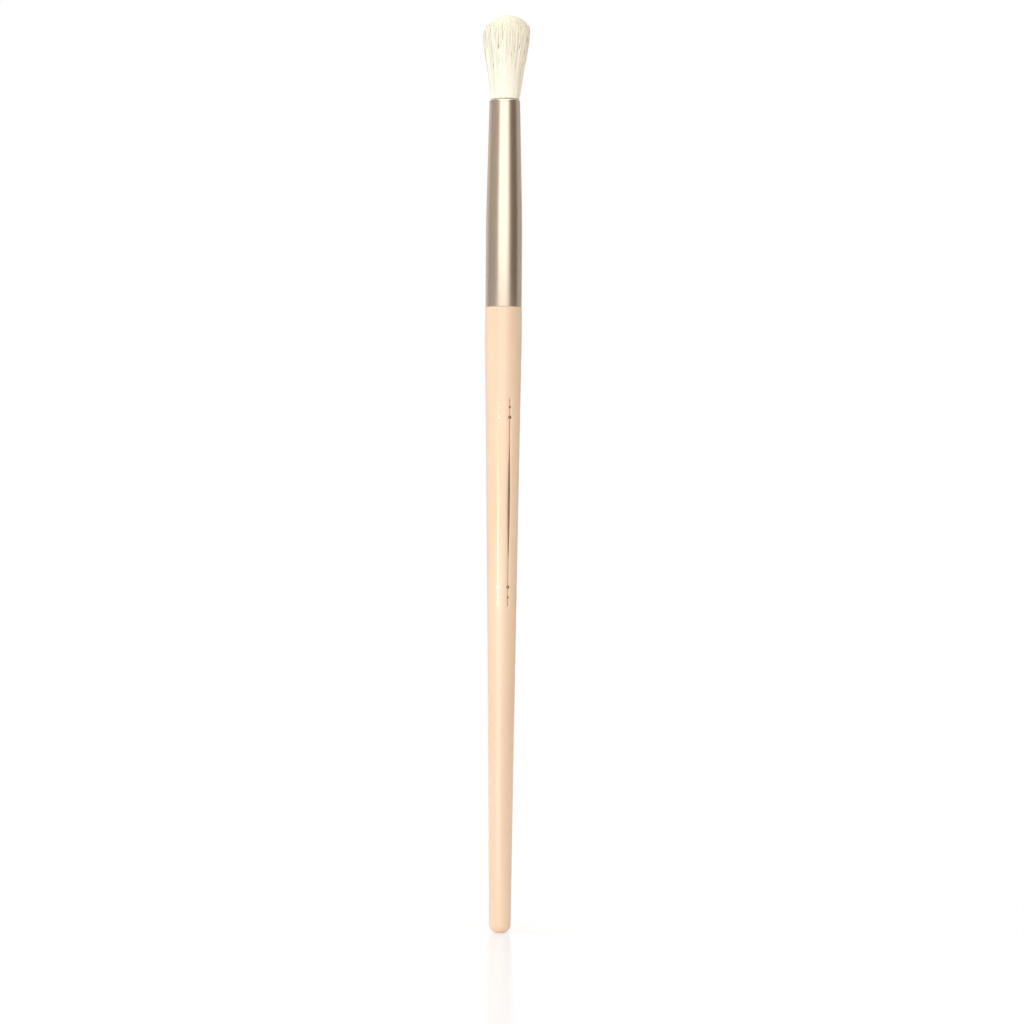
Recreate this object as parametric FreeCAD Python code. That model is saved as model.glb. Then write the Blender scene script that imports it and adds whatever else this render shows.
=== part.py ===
import FreeCAD, Part
import math
import os

from FreeCAD import Vector

# Round eyeshadow blending brush: a turned wooden handle whose tenon is glued into a drawn metal
# ferrule, and a head of hair that is tied with thread and glued by its roots inside that ferrule.
# Millimetres. The tail's flat end is at the origin and the brush runs up the Z axis.

# Handle, one turned piece with its tenon
handle_length = 122.65  # tail to shoulder
tail_flat_diameter = 1.1  # part-off flat at the very end
tail_diameter = 4.3  # just above the rounded tail
middle_diameter = 5.6  # half way along the taper
shoulder_step = 0.06  # how far the collar under the ferrule stands out past it
collar_length = 5.0  # parallel
collar_blend = 1.6  # tangent length of the bend from collar to taper
shoulder_round = 0.22  # softened lacquered edge of the shoulder
tenon_length = 14.0
tenon_lead = 0.6  # chamfer that starts the tenon into the ferrule
groove_count = 3  # glue grooves turned into the tenon
groove_width = 0.9
groove_depth = 0.25
groove_pitch = 3.4
first_groove = 2.6  # shoulder to the middle of the lowest groove

# Ferrule, one drawn tube: parallel at the back, tapered to the mouth, edge rolled inward
ferrule_length = 40.65
back_diameter = 7.1  # outside, over the tenon
mouth_diameter = 6.02  # outside, below the rolled lip
wall = 0.25
lip_inner_bend = 0.08  # how far the rolled edge turns in past its own wall
back_edge_break = 0.08  # deburred edge at the shoulder
parallel_spare = 1.0  # parallel bore past the end of the tenon
taper_blend = 2.3  # tangent length of the bend from parallel to taper

# Glue
glue_film = 0.1  # between tenon and bore
plug_gap = 0.9  # end of the bend to the plug of root glue
plug_below_root = 2.5
plug_above_root = 5.0
plug_wall = 0.5  # round the roots, at the top of the plug

# Tie thread, wound round the roots
thread_diameter = 0.34  # across its corners
thread_sides = 6
thread_gap = 0.44  # between turns
thread_turns = 3
thread_clearance = 0.015
tie_height = 0.8  # root end to the start of the winding

# Hair
hair_reach = 16.7  # mouth to tip
spread_diameter = 5.9  # where the hair swells out over the lip
spread_rise = 0.4  # mouth to that swelling
flare_bend = 12.0  # radius at which the hair starts to flare
flare_straight = 0.2  # share of flare and belly that gives way to a straight run between them
belly_diameter = 9.2
dome_height = 3.3  # belly to tip
dome_edge_bend = 2.25  # radius at the dome's edge; its crown is a larger one
hair_clearance = 0.03  # hair to ferrule
swell_rise = 1.5  # above the plug, where the hair fills the bore again

# Radii and heights that follow from those sizes
tail_radius = tail_diameter / 2
tail_flat_radius = tail_flat_diameter / 2
tail_round = tail_radius - tail_flat_radius
back_radius = back_diameter / 2
shoulder_radius = back_radius + shoulder_step
mouth_radius = mouth_diameter / 2
bore_back_radius = back_radius - wall
tenon_radius = bore_back_radius - glue_film
lip_radius = wall + lip_inner_bend
opening_radius = mouth_radius - lip_radius

shoulder_height = handle_length
collar_bottom = shoulder_height - collar_length
collar_corner = collar_bottom - collar_blend
taper_end = collar_corner - collar_blend
# The taper's sweep ends at the radius where it points straight at the corner under the collar
blend_share = collar_blend / (taper_end - tail_round)
sweep_pull = blend_share * (2 * middle_diameter - tail_radius)
taper_end_radius = (shoulder_radius + sweep_pull) / (1 + 3 * blend_share)
tenon_end = shoulder_height + tenon_length
mouth_height = shoulder_height + ferrule_length
lip_start = mouth_height - lip_radius
bend_start = tenon_end + parallel_spare
bend_corner = bend_start + taper_blend
taper_slope = (back_radius - mouth_radius) / (lip_start - bend_corner)
taper_start = bend_corner + taper_blend * math.cos(math.atan(taper_slope))

plug_bottom = taper_start + plug_gap
root_height = plug_bottom + plug_below_root
plug_top = root_height + plug_above_root
belly_radius = belly_diameter / 2
spread_radius = spread_diameter / 2
tip_height = mouth_height + hair_reach
belly_height = tip_height - dome_height


def outside_radius(height):
    """Outside of the ferrule's taper at a height."""
    return back_radius - taper_slope * (height - bend_corner)


def bore_radius(height):
    """Inside of the ferrule's taper at a height."""
    return outside_radius(height) - wall


root_radius = bore_radius(plug_top) - plug_wall
thread_pitch = thread_diameter + thread_gap
winding_height = thread_turns * thread_pitch
winding_start = root_height + tie_height + thread_diameter / 2
waist_radius = root_radius - thread_diameter
waist_bottom = winding_start - thread_diameter / 2 - thread_clearance
waist_top = winding_start + winding_height + thread_diameter / 2 + thread_clearance


class Outline:
    """Half section of a turned piece: a closed outline beside the Z axis, in radii and heights."""

    def __init__(self, radius, height):
        self.first = Vector(radius, 0, height)
        self.here = self.first
        self.edges = []

    def add(self, curve, end):
        """Takes a curve into the outline and goes on from its end."""
        self.edges.append(curve.toShape())
        self.here = end

    def line(self, radius, height):
        """Straight run to a point."""
        end = Vector(radius, 0, height)
        self.add(Part.LineSegment(self.here, end), end)

    def turn(self, centre, radius, height):
        """Arc of under half a circle about a (radius, height) centre."""
        end = Vector(radius, 0, height)
        middle = Vector(centre[0], 0, centre[1])
        outward = (self.here - middle) + (end - middle)
        outward.normalize()
        through = middle + outward * (end - middle).Length
        self.add(Part.Arc(self.here, through, end), end)

    def curve(self, handles, radius, height):
        """Smooth curve that leaves toward its first (radius, height) handle, arrives from its last."""
        end = Vector(radius, 0, height)
        poles = [self.here, *(Vector(r, 0, h) for r, h in handles), end]
        bezier = Part.BezierCurve()
        bezier.setPoles(poles)
        self.add(bezier, end)

    def sweep(self, middle_radius, radius, height):
        """One even curve to a point, with the given radius half way."""
        handle_radius = 2 * middle_radius - (self.here.x + radius) / 2
        self.curve([(handle_radius, (self.here.z + height) / 2)], radius, height)

    def solid(self):
        """Closes the outline with a straight run and turns it about Z."""
        self.line(self.first.x, self.first.z)
        face = Part.Face(Part.Wire(self.edges))
        return face.revolve(Vector(0, 0, 0), Vector(0, 0, 1), 360)


def tenon_steps():
    """Corners of the grooved tenon from shoulder to lead chamfer, as (radius, height)."""
    steps = [(tenon_radius, shoulder_height)]
    for index in range(groove_count):
        middle = shoulder_height + first_groove + index * groove_pitch
        low = middle - groove_width / 2
        high = middle + groove_width / 2
        floor = tenon_radius - groove_depth
        steps += [
            (tenon_radius, low),
            (floor, low + groove_depth),
            (floor, high - groove_depth),
            (tenon_radius, high),
        ]
    steps.append((tenon_radius, tenon_end - tenon_lead))
    return steps


def make_handle():
    """Turned handle: rounded tail, slightly hollow taper, parallel collar, seat, grooved tenon."""
    outline = Outline(0, 0)
    outline.line(tail_flat_radius, 0)
    outline.turn((tail_flat_radius, tail_round), tail_radius, tail_round)
    outline.sweep(middle_diameter / 2, taper_end_radius, taper_end)
    outline.curve([(shoulder_radius, collar_corner)], shoulder_radius, collar_bottom)
    outline.line(shoulder_radius, shoulder_height - shoulder_round)
    seat_radius = shoulder_radius - shoulder_round
    seat_centre = (seat_radius, shoulder_height - shoulder_round)
    outline.turn(seat_centre, seat_radius, shoulder_height)
    for radius, height in tenon_steps():
        outline.line(radius, height)
    outline.line(tenon_radius - tenon_lead, tenon_end)
    outline.line(0, tenon_end)
    return outline.solid()


def make_tenon_glue():
    """Cured glue that fills the film and the grooves between tenon and bore."""
    outline = Outline(bore_back_radius, shoulder_height)
    for radius, height in tenon_steps():
        outline.line(radius, height)
    outline.line(bore_back_radius, tenon_end - tenon_lead)
    return outline.solid()


def make_ferrule():
    """Thin drawn tube: deburred back edge, parallel back, bend, taper, edge rolled inward."""
    lip_centre = (opening_radius, lip_start)
    outline = Outline(bore_back_radius, shoulder_height)
    outline.line(back_radius - back_edge_break, shoulder_height)
    outline.line(back_radius, shoulder_height + back_edge_break)
    outline.line(back_radius, bend_start)
    outline.curve([(back_radius, bend_corner)], outside_radius(taper_start), taper_start)
    outline.line(mouth_radius, lip_start)
    outline.turn(lip_centre, opening_radius, mouth_height)
    outline.line(opening_radius, mouth_height - wall)
    outline.line(mouth_radius - wall, lip_start)
    outline.line(bore_radius(taper_start), taper_start)
    outline.curve([(bore_back_radius, bend_corner)], bore_back_radius, bend_start)
    return outline.solid()


def make_root_glue():
    """Cup of cured glue between the hair's roots and the bore."""
    outline = Outline(0, plug_bottom)
    outline.line(bore_radius(plug_bottom), plug_bottom)
    outline.line(bore_radius(plug_top), plug_top)
    outline.line(root_radius, plug_top)
    outline.line(root_radius, root_height)
    outline.line(0, root_height)
    return outline.solid()


def winding_point(turn):
    """Point of the winding's centre line after so many turns, and its heading there."""
    angle = 2 * math.pi * turn
    radius = root_radius - thread_diameter / 2
    climb = thread_pitch / (2 * math.pi)
    point = Vector(radius * math.cos(angle), radius * math.sin(angle), winding_start + climb * angle)
    heading = Vector(-radius * math.sin(angle), radius * math.cos(angle), climb)
    return point, heading.normalize()


def arc_between(start, corner, end):
    """Arc from start to end that touches the two lines through their common corner."""
    middle = (start + end) * 0.5
    half_chord = (end - start).Length / 2
    lean = math.acos(half_chord / (corner - start).Length)
    toward_corner = (corner - middle).normalize()
    through = middle + toward_corner * (half_chord * math.tan(lean / 2))
    return Part.Arc(start, through, end).toShape()


def biarc(start, start_heading, end, end_heading):
    """Two arcs that leave start and reach end along the given headings, and meet without a kink."""
    across = end - start
    reach = across.dot(start_heading + end_heading)
    spread = 2 * (1 - start_heading.dot(end_heading))
    tangent = (math.sqrt(reach**2 + spread * across.dot(across)) - reach) / spread
    first_corner = start + start_heading * tangent
    second_corner = end - end_heading * tangent
    meeting = (first_corner + second_corner) * 0.5
    first = arc_between(start, first_corner, meeting)
    second = arc_between(meeting, second_corner, end)
    return [first, second]


def make_tie_thread():
    """Thread wound in one helix round the waist that it draws into the roots."""
    edges = []
    for quarter in range(4 * thread_turns):
        start, start_heading = winding_point(quarter / 4)
        end, end_heading = winding_point((quarter + 1) / 4)
        edges += biarc(start, start_heading, end, end_heading)
    first, heading = winding_point(0)
    outward = Vector(first.x, first.y, 0).normalize()
    sideways = heading.cross(outward)
    reach = thread_diameter / 2 - thread_clearance
    corners = []
    for side in range(thread_sides + 1):
        angle = 2 * math.pi * side / thread_sides
        corners.append(first + (outward * math.cos(angle) + sideways * math.sin(angle)) * reach)
    closed = True
    return Part.Wire(edges).makePipeShell([Part.makePolygon(corners)], closed)


def winding_gap():
    """Least distance between the surfaces of neighbouring turns, from points along the winding."""
    steps_per_turn = 24
    steps = range(steps_per_turn * thread_turns + 1)
    points = [winding_point(step / steps_per_turn)[0] for step in steps]
    half_turn = steps_per_turn // 2
    apart = min(
        (point - other).Length
        for index, point in enumerate(points)
        for other in points[index + half_turn :]
    )
    return apart - thread_diameter + 2 * thread_clearance


def straight_between(first, first_bend, second, second_bend):
    """Ends of the straight run that leaves one circle and reaches another on its other side."""
    across = (second[0] - first[0], second[1] - first[1])
    lean = math.acos((first_bend + second_bend) / math.hypot(*across))
    bearing = math.atan2(across[1], across[0]) + lean
    out = (math.cos(bearing), math.sin(bearing))
    start = (first[0] + first_bend * out[0], first[1] + first_bend * out[1])
    end = (second[0] - second_bend * out[0], second[1] - second_bend * out[1])
    return start, end


def make_hair_tuft():
    """Hair from its tied roots up through the mouth to the rounded tips, as one soft body."""
    outline = Outline(0, root_height)
    outline.line(root_radius, root_height)
    outline.line(root_radius, waist_bottom)
    outline.line(waist_radius, waist_bottom)
    outline.line(waist_radius, waist_top)
    outline.line(root_radius, waist_top)
    outline.line(root_radius, plug_top)
    swell_height = plug_top + swell_rise
    outline.line(bore_radius(swell_height) - hair_clearance, swell_height)
    outline.line(mouth_radius - wall - hair_clearance, lip_start)
    neck_radius = opening_radius - hair_clearance
    outline.line(neck_radius, mouth_height - wall - hair_clearance)
    outline.line(neck_radius, mouth_height)
    flare_height = mouth_height + spread_rise
    outline.line(spread_radius, flare_height)
    # Two arcs, upright at their outer ends; with larger bends they would meet with no straight run
    widening = belly_radius - spread_radius
    largest_bends = (widening**2 + (belly_height - flare_height) ** 2) / (2 * widening)
    belly_bend = (1 - flare_straight) * largest_bends - flare_bend
    flare_centre = (spread_radius + flare_bend, flare_height)
    belly_centre = (belly_radius - belly_bend, belly_height)
    start, end = straight_between(flare_centre, flare_bend, belly_centre, belly_bend)
    outline.turn(flare_centre, *start)
    outline.line(*end)
    outline.turn(belly_centre, belly_radius, belly_height)
    edge_centre = (belly_radius - dome_edge_bend, belly_height)
    crown_rise = dome_height - dome_edge_bend
    crown_bend = dome_edge_bend + (crown_rise**2 + edge_centre[0] ** 2) / (2 * crown_rise)
    crown_centre = (0, tip_height - crown_bend)
    lean = math.atan2(edge_centre[0], edge_centre[1] - crown_centre[1])
    crown_radius = crown_bend * math.sin(lean)
    crown_height = crown_centre[1] + crown_bend * math.cos(lean)
    outline.turn(edge_centre, crown_radius, crown_height)
    outline.turn(crown_centre, 0, tip_height)
    return outline.solid()


PIECES = {
    "handle": make_handle,
    "tenon_glue": make_tenon_glue,
    "ferrule": make_ferrule,
    "root_glue": make_root_glue,
    "tie_thread": make_tie_thread,
    "hair_tuft": make_hair_tuft,
}


def main():
    os.makedirs("parts", exist_ok=True)
    for name, make in PIECES.items():
        shape = make()
        box = shape.optimalBoundingBox()
        print(
            f"{name}: {shape.ShapeType} valid {shape.isValid()} volume {shape.Volume:.2f} mm3, "
            f"z {box.ZMin:.2f} to {box.ZMax:.2f}, across {box.XLength:.2f}"
        )
        shape.exportStep(f"parts/{name}.step")
    print(f"least gap between turns of the tie thread: {winding_gap():.3f} mm")


main()
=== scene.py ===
"""Studio scene of a round eyeshadow blending brush.

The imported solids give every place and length. The lacquered handle and the drawn ferrule are turned
again on a finer lathe, the head is combed hair by hair, and the glued joint keeps its own solids.
"""

import logging
import math
from dataclasses import dataclass, field
from enum import Enum

import bpy
import numpy as np
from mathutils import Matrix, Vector


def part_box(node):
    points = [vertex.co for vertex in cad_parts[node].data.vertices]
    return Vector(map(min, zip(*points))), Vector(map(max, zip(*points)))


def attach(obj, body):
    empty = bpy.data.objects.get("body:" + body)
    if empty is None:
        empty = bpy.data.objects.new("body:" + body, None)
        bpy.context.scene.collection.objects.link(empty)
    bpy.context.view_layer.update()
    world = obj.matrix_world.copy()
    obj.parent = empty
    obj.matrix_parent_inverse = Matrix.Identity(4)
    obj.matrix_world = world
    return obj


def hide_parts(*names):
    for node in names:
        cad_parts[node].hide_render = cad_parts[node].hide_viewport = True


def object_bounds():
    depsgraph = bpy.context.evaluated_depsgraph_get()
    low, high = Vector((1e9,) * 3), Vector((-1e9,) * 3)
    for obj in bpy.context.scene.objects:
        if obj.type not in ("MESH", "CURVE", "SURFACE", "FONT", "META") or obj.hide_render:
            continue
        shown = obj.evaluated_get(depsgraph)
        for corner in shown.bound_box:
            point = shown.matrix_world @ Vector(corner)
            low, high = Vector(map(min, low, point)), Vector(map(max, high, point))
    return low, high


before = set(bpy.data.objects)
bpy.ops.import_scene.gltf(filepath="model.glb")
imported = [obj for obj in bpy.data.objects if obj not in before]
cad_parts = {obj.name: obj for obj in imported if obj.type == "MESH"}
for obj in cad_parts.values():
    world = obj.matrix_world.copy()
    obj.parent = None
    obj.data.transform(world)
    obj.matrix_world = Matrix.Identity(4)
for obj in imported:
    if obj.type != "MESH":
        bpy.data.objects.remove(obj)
cad_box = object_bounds()

MM = 0.001
BAKE_MAP = "OFBake"
SEED = 20417
SHARP_EDGE = math.radians(40)
HANDLE_NAME = "lacquered_handle"
# Share of the hair's tints that carry no painted shade of the gaps between clumps.
PLAIN_TINTS = 0.875
# Share of the bake map's height that the hair inside the ferrule takes.
HIDDEN_SHARE = 0.2
# Mean of a noise texture.
NOISE_MIDDLE = 0.5
# Watts to a square metre of a lamp's face that give it a glow of 1.
LAMP_POWER = 4.0

Colour = tuple[float, float, float]
Point = tuple[float, float]

WHITE: Colour = (1.0, 1.0, 1.0)

log = logging.getLogger("brush")


class Layer(Enum):
    """The hairs of the head by their place in the bundle."""

    HEART = "hair_heart"
    BODY = "hair_body"
    SKIN = "hair_skin"


class Wear(Enum):
    """The finishes that one turned handle carries, by material index."""

    LACQUER = 0
    FOIL = 1


# Pieces that some lamps shine on alone.
HAIR = tuple(layer.value for layer in Layer)
WOOD = (HANDLE_NAME,)


class Socket:
    """An output in a shader tree, which takes part in sums as a number does."""

    def __init__(self, shader: "Shader", plug: bpy.types.NodeSocket) -> None:
        """Keeps the tree and the output."""
        self.shader = shader
        self.plug = plug

    def is_vector(self) -> bool:
        """True for a vector or a colour."""
        return self.plug.type in ("VECTOR", "RGBA")

    def of(self, output: str) -> "Socket":
        """Another output of the same node."""
        return Socket(self.shader, self.plug.node.outputs[output])

    def __add__(self, other: "Socket | float | tuple") -> "Socket":
        """Sum."""
        return self.shader.maths("ADD", self, other)

    def __radd__(self, other: "float | tuple") -> "Socket":
        """Sum, with the number first."""
        return self.shader.maths("ADD", other, self)

    def __sub__(self, other: "Socket | float | tuple") -> "Socket":
        """Difference."""
        return self.shader.maths("SUBTRACT", self, other)

    def __rsub__(self, other: "float | tuple") -> "Socket":
        """Difference, with the number first."""
        return self.shader.maths("SUBTRACT", other, self)

    def __mul__(self, other: "Socket | float | tuple") -> "Socket":
        """Product."""
        return self.shader.maths("MULTIPLY", self, other)

    def __rmul__(self, other: "float | tuple") -> "Socket":
        """Product, with the number first."""
        return self.shader.maths("MULTIPLY", other, self)


class Shader:
    """The node tree of a material or a world."""

    def __init__(self, owner: bpy.types.Material | bpy.types.World) -> None:
        """Empties the owner's tree."""
        owner.use_nodes = True
        self.tree = owner.node_tree
        self.tree.nodes.clear()

    def node(
        self,
        kind: str,
        settings: dict | None = None,
        inputs: dict | None = None,
        output: int | str = 0,
    ) -> Socket:
        """Adds a node.

        Args:
            kind: Blender's name of the node type.
            settings: properties, set first; "stops" holds a ramp's (place, colour) pairs.
            inputs: numbers, tuples or Sockets by input name or number.
            output: the output that is wanted.

        Returns:
            The wanted output.
        """
        made = self.tree.nodes.new(kind)
        for name, value in (settings or {}).items():
            if name == "stops":
                self.set_stops(made, value)
            else:
                setattr(made, name, value)
        for name, value in (inputs or {}).items():
            if isinstance(value, Socket):
                self.tree.links.new(value.plug, made.inputs[name])
            else:
                made.inputs[name].default_value = value
        return Socket(self, made.outputs[output])

    def set_stops(self, ramp: bpy.types.Node, stops: list[tuple[float, Colour]]) -> None:
        """Gives a colour ramp its stops.

        Args:
            ramp: the Color Ramp node.
            stops: places from 0 to 1 with their colours.
        """
        elements = ramp.color_ramp.elements
        while len(elements) < len(stops):
            elements.new(1.0)
        for element, (place, colour) in zip(elements, stops):
            element.position = place
            element.color = (*colour, 1.0)

    def maths(
        self,
        operation: str,
        first: "Socket | float | tuple",
        second: "Socket | float | tuple",
    ) -> Socket:
        """Adds a Math node, or a Vector Math node where a vector or colour takes part.

        Args:
            operation: the node's operation.
            first: left operand.
            second: right operand.

        Returns:
            The result.
        """
        terms = [first, second]
        vector = any(t.is_vector() if isinstance(t, Socket) else isinstance(t, tuple) for t in terms)
        if vector:
            terms = [t if isinstance(t, (Socket, tuple)) else (t, t, t) for t in terms]
        kind = "ShaderNodeVectorMath" if vector else "ShaderNodeMath"
        return self.node(kind, {"operation": operation}, {0: terms[0], 1: terms[1]})

    def place(self) -> Socket:
        """Places on the piece in metres."""
        return self.node("ShaderNodeTexCoord", output="Object")

    def noise(self, place: Socket, scale: float, detail: float = 2.0) -> Socket:
        """Soft random values from 0 to 1.

        Args:
            place: where on the piece.
            scale: grains to a unit of place.
            detail: octaves of finer grain.

        Returns:
            The values.
        """
        inputs = {"Vector": place, "Scale": scale, "Detail": detail}
        return self.node("ShaderNodeTexNoise", inputs=inputs)

    def step(self, value: Socket, low: float, high: float) -> Socket:
        """Smooth rise from 0 at low to 1 at high."""
        inputs = {"Value": value, "From Min": low, "From Max": high}
        return self.node("ShaderNodeMapRange", {"interpolation_type": "SMOOTHSTEP"}, inputs)

    def mix(self, share: Socket, first: "Socket | Colour", second: "Socket | Colour") -> Socket:
        """Blends two colours.

        Args:
            share: 0 for the first colour to 1 for the second.
            first: a colour.
            second: a colour.

        Returns:
            The blend.
        """
        ends = [c if isinstance(c, Socket) else (*c, 1.0) for c in (first, second)]
        inputs = {0: share, 6: ends[0], 7: ends[1]}
        return self.node("ShaderNodeMix", {"data_type": "RGBA"}, inputs, output=2)

    def bump(self, height: Socket, strength: float, depth: float) -> Socket:
        """Normals of a slightly uneven surface.

        Args:
            height: relief from 0 to 1.
            strength: how much of it counts.
            depth: metres that a height of 1 stands for.

        Returns:
            The normals.
        """
        inputs = {"Strength": strength, "Distance": depth, "Height": height}
        return self.node("ShaderNodeBump", inputs=inputs)

    def surface(self, inputs: dict) -> None:
        """Ends the tree in a Principled shader with these inputs."""
        self.output(self.node("ShaderNodeBsdfPrincipled", inputs=inputs))

    def output(self, shader: Socket, kind: str = "ShaderNodeOutputMaterial") -> None:
        """Ends the tree in a shader."""
        end = self.tree.nodes.new(kind)
        self.tree.links.new(shader.plug, end.inputs["Surface"])

    def shown(self) -> Socket:
        """1 where the eye, a mirror or a glass looks, 0 where light is gathered."""
        path = self.node("ShaderNodeLightPath", output="Is Camera Ray")
        return path + path.of("Is Glossy Ray") + path.of("Is Transmission Ray")


def toned(colour: Colour, factor: float) -> Colour:
    """A colour made lighter or darker."""
    red, green, blue = (min(1.0, part * factor) for part in colour)
    return red, green, blue


@dataclass(frozen=True)
class Lacquer:
    """Sprayed satin lacquer on turned wood."""

    colour: Colour = (0.85, 0.605, 0.412)
    tone_spread: float = 0.035
    roughness: float = 0.33
    roughness_spread: float = 0.08
    coat: float = 0.60
    coat_roughness: float = 0.16
    drift_scale: float = 140.0
    drift_stretch: float = 0.25
    drift_range: tuple[float, float] = (0.3, 0.7)
    peel_scale: float = 1100.0
    peel_detail: float = 1.0
    peel_depth: float = 0.02 * MM
    peel_strength: float = 0.10

    def material(self) -> bpy.types.Material:
        """Makes the material.

        Returns:
            Lacquer with faint drifts of tone and a fine orange peel.
        """
        made = bpy.data.materials.new("nude_lacquer")
        shader = Shader(made)
        place = shader.place()
        drift = shader.noise(place * (1.0, 1.0, self.drift_stretch), self.drift_scale)
        peel = shader.noise(place, self.peel_scale, self.peel_detail)
        low = toned(self.colour, 1.0 - self.tone_spread)
        high = toned(self.colour, 1.0 + self.tone_spread)
        shader.surface({
            "Base Color": shader.mix(shader.step(drift, *self.drift_range), low, high),
            "Roughness": self.roughness + (peel - NOISE_MIDDLE) * self.roughness_spread,
            "Coat Weight": self.coat,
            "Coat Roughness": self.coat_roughness,
            "Normal": shader.bump(peel, self.peel_strength, self.peel_depth),
        })
        return made


@dataclass(frozen=True)
class Foil:
    """Hot-stamped metal foil, a little rubbed."""

    colour: Colour = (0.80, 0.57, 0.36)
    bare: Colour = (0.86, 0.66, 0.46)
    roughness: float = 0.17
    roughness_spread: float = 0.12
    grain_scale: float = 5200.0
    grain_detail: float = 3.0
    grain_depth: float = 0.01 * MM
    grain_strength: float = 0.12
    rub_range: tuple[float, float] = (0.62, 0.72)
    rub_loss: float = 0.9

    def material(self) -> bpy.types.Material:
        """Makes the material.

        Returns:
            Foil with fine specks where the ground shows through.
        """
        made = bpy.data.materials.new("stamped_foil")
        shader = Shader(made)
        grain = shader.noise(shader.place(), self.grain_scale, self.grain_detail)
        rubbed = shader.step(grain, *self.rub_range)
        shader.surface({
            "Base Color": shader.mix(rubbed, self.colour, self.bare),
            "Metallic": 1.0 - rubbed * self.rub_loss,
            "Roughness": self.roughness + grain * self.roughness_spread,
            "Normal": shader.bump(grain, self.grain_strength, self.grain_depth),
        })
        return made


@dataclass(frozen=True)
class ChampagneMetal:
    """Drawn and anodised thin metal with a satin gloss."""

    colour: Colour = (0.713, 0.587, 0.462)
    tone_spread: float = 0.03
    roughness: float = 0.30
    roughness_spread: float = 0.07
    draw_scale: float = 6500.0
    draw_stretch: float = 0.01
    draw_depth: float = 0.006 * MM
    draw_strength: float = 0.08
    cloud_scale: float = 260.0

    def material(self) -> bpy.types.Material:
        """Makes the material.

        Returns:
            Metal with faint lines along the drawing direction.
        """
        made = bpy.data.materials.new("champagne_metal")
        shader = Shader(made)
        place = shader.place()
        lines = shader.noise(place * (1.0, 1.0, self.draw_stretch), self.draw_scale)
        clouds = shader.noise(place, self.cloud_scale)
        low = toned(self.colour, 1.0 - self.tone_spread)
        high = toned(self.colour, 1.0 + self.tone_spread)
        shader.surface({
            "Base Color": shader.mix(clouds, low, high),
            "Metallic": 1.0,
            "Roughness": self.roughness + (lines - NOISE_MIDDLE) * self.roughness_spread,
            "Normal": shader.bump(lines, self.draw_strength, self.draw_depth),
        })
        return made


@dataclass(frozen=True)
class CreamHair:
    """Undyed soft hair, read through each hair's own strip of the bake map."""

    pale: Colour = (1.0, 0.97, 0.815)
    cream: Colour = (1.0, 0.94, 0.75)
    beige: Colour = (1.0, 0.865, 0.71)
    grey: Colour = (0.84, 0.745, 0.59)
    tip: Colour = (1.0, 0.925, 0.73)
    # Painted shade of the gaps between clumps, laid on some hairs as short dark flecks.
    gap_shade: Colour = (0.56, 0.50, 0.38)
    # Painted shadow in the gap between the ferrule's lip and the hair. It also colours the hair hidden
    # inside the ferrule.
    root: Colour = (0.33, 0.28, 0.22)
    pale_end: float = 0.48
    cream_place: float = 0.70
    beige_place: float = 0.82
    grey_margin: float = 0.01
    tip_start: float = 0.72
    tip_share: float = 0.6
    gap_shade_place: float = 0.58
    gap_shade_slope: float = 2.6
    gap_shade_reach: float = 0.042
    gap_shade_margin: float = 0.004
    lip_shadow_end: float = 0.217
    roughness: float = 0.45
    roughness_spread: float = 0.15
    specular: float = 0.35
    sheen: float = 0.65
    sheen_roughness: float = 0.5

    def material(self) -> bpy.types.Material:
        """Makes the material.

        Returns:
            Hair that differs from strand to strand, with beige tips, painted shade of the gaps between
            clumps as dark flecks, and a painted shadow line where it leaves the ferrule.
        """
        made = bpy.data.materials.new("cream_hair")
        shader = Shader(made)
        strip = shader.node("ShaderNodeUVMap", {"uv_map": BAKE_MAP})
        strand = shader.node("ShaderNodeSeparateXYZ", inputs={0: strip})
        stops = [
            (0.0, self.pale),
            (self.pale_end, self.pale),
            (self.cream_place, self.cream),
            (self.beige_place, self.beige),
            (PLAIN_TINTS - self.grey_margin, self.grey),
            (PLAIN_TINTS, self.cream),
        ]
        tint = shader.node("ShaderNodeValToRGB", {"stops": stops}, {0: strand})
        along = strand.of("Y")
        body = shader.mix(shader.step(along, self.tip_start, 1.0) * self.tip_share, tint, self.tip)
        # Painted shade of the gaps between clumps: short dark flecks on the hairs with the deepest tints.
        offset = along - self.gap_shade_place - (strand - PLAIN_TINTS) * self.gap_shade_slope
        gap_shade = 1.0 - shader.step(offset * offset, 0.0, self.gap_shade_reach**2)
        gap_shaded = shader.step(strand, PLAIN_TINTS - self.gap_shade_margin, PLAIN_TINTS)
        body = shader.mix(gap_shade * gap_shaded, body, self.gap_shade)
        # Painted shadow line where the hair leaves the ferrule, dark down to the root.
        root = 1.0 - shader.step(along, HIDDEN_SHARE, self.lip_shadow_end)
        shader.surface({
            "Base Color": shader.mix(root, body, self.root),
            "Roughness": self.roughness + strand * self.roughness_spread,
            "Specular IOR Level": self.specular,
            "Sheen Weight": self.sheen,
            "Sheen Roughness": self.sheen_roughness,
            "Sheen Tint": (*self.pale, 1.0),
        })
        return made


@dataclass(frozen=True)
class CuredGlue:
    """Amber resin that has set inside the ferrule."""

    colour: Colour = (0.62, 0.40, 0.16)
    cloudy: Colour = (0.78, 0.60, 0.33)
    cloud_scale: float = 900.0
    cloud_detail: float = 3.0
    roughness: float = 0.12
    roughness_spread: float = 0.2
    ripple_strength: float = 0.2
    ripple_depth: float = 0.03 * MM

    def material(self) -> bpy.types.Material:
        """Makes the material.

        Returns:
            Glossy resin with cloudy patches and small ripples.
        """
        made = bpy.data.materials.new("cured_glue")
        shader = Shader(made)
        clouds = shader.noise(shader.place(), self.cloud_scale, self.cloud_detail)
        shader.surface({
            "Base Color": shader.mix(clouds, self.colour, self.cloudy),
            "Roughness": self.roughness + clouds * self.roughness_spread,
            "Normal": shader.bump(clouds, self.ripple_strength, self.ripple_depth),
        })
        return made


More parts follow.
